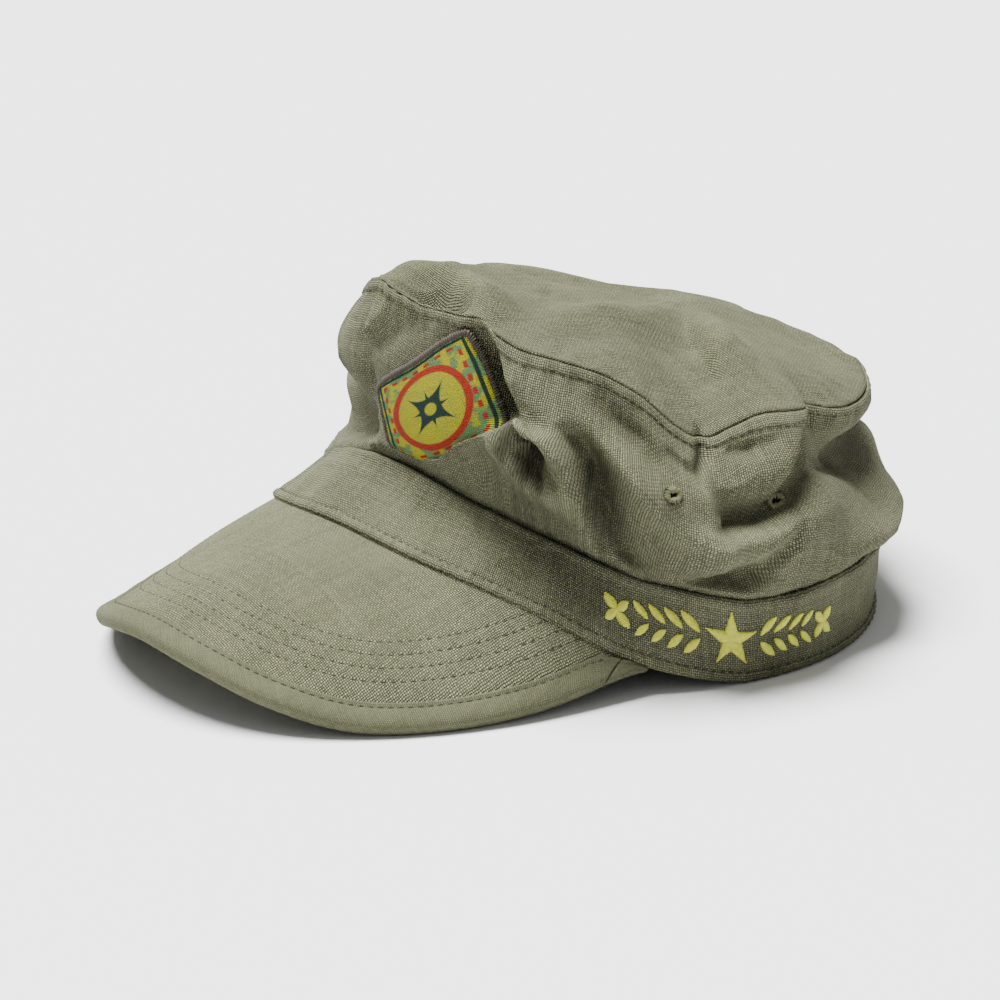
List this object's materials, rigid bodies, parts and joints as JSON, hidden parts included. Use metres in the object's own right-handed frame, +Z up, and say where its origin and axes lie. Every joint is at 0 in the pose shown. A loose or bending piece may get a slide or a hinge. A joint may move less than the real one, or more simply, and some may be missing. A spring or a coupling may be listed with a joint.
{
  "type": "army cap",
  "caption": "Soft olive field cap: crumpled crown with a seamed top, plain band, stiff arched peak with bound edge, square patch and eyelets.",
  "frame": {"origin": "middle of the cap's underside, on the surface that it rests on", "axes": "+Z up, -Y out along the peak, +X to the wearer's left"},
  "size_m": [0.2088, 0.263, 0.112],
  "materials": {
    "canvas": "matt olive plain-weave cotton canvas",
    "binding": "matt olive folded cotton strip, finer weave",
    "patch_ground": "woven patch, yellow and pale green ground",
    "patch_edge": "dark brown overlocked thread",
    "eyelet_thread": "olive embroidery thread",
    "band_thread": "lime yellow embroidery thread with a slight sheen"
  },
  "bodies": {
    "root": {"band": "canvas", "crown_wall": "canvas", "top_panel": "canvas", "peak": "canvas", "peak_binding": "binding", "patch": "patch_ground", "patch_border": "patch_edge", "eyelet_left_front": "eyelet_thread", "eyelet_left_back": "eyelet_thread", "eyelet_right_front": "eyelet_thread", "eyelet_right_back": "eyelet_thread"}
  },
  "joints": []
}
